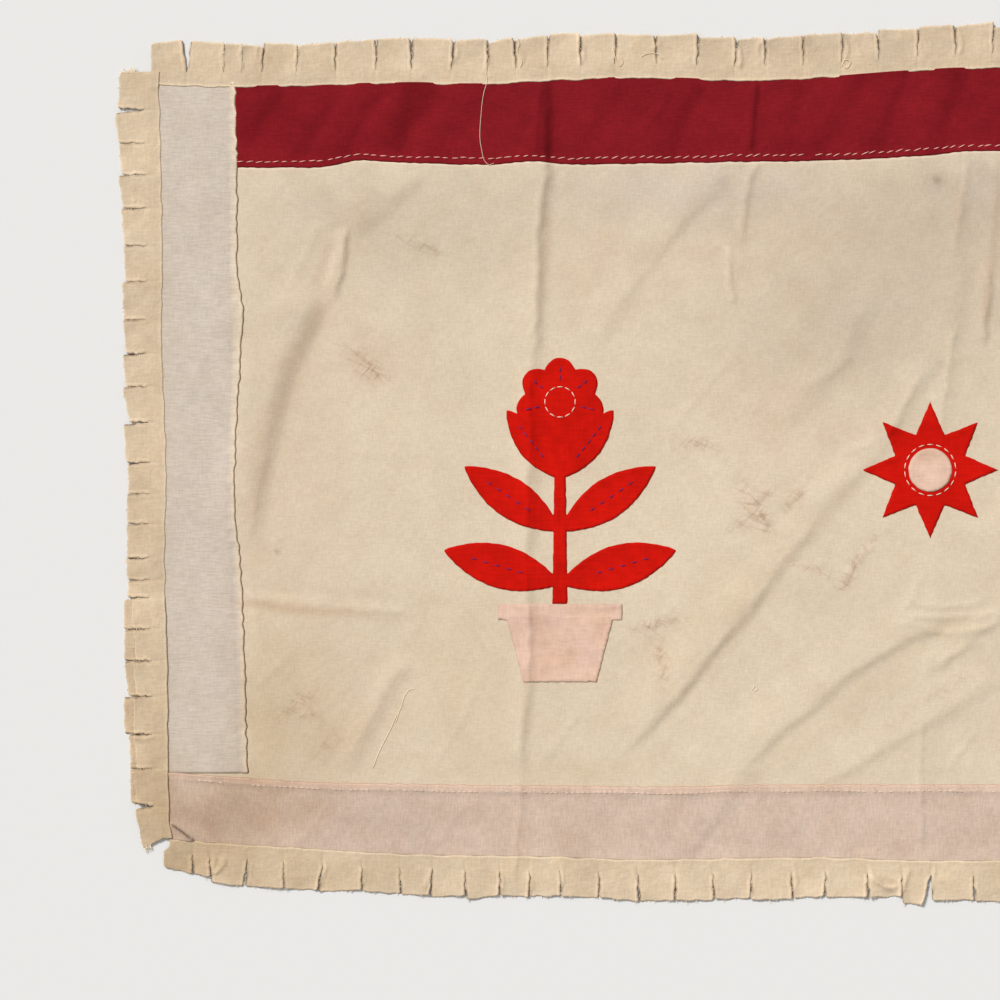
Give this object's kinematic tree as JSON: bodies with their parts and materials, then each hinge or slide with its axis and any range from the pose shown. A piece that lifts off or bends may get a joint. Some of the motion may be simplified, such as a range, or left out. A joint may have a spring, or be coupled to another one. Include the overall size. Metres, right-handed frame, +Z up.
{
  "type": "asafo flag",
  "caption": "Rectangular cotton flag lying face up, with applied border bands, fringes cut into tabs, a sewn plant and star, and shallow folds.",
  "frame": {"origin": "on the surface that the flag lies on, under the middle of its outline", "axes": "+X from the fly end to the hoist end along the flag's length, +Y towards its top edge, +Z up out of the face"},
  "size_m": [1.5237, 0.9355, 0.0073],
  "materials": {
    "cream_cotton": "matt plain weave, aged",
    "crimson_cotton": "matt plain weave",
    "grey_cotton": "matt slubbed weave",
    "pink_grey_cotton": "matt slubbed weave",
    "fringe_cotton": "matt plain weave, frayed edges",
    "scarlet_cotton": "matt plain weave",
    "pink_cotton": "matt plain weave"
  },
  "bodies": {
    "root": {"ground": "cream_cotton", "top_band": "crimson_cotton", "fly_band": "grey_cotton", "foot_band": "pink_grey_cotton", "fringe_top": "fringe_cotton", "fringe_fly": "fringe_cotton", "fringe_fly_back": "fringe_cotton", "fringe_foot": "fringe_cotton", "plant": "scarlet_cotton", "pot": "pink_cotton", "star": "scarlet_cotton", "star_eye": "pink_cotton"}
  },
  "joints": []
}
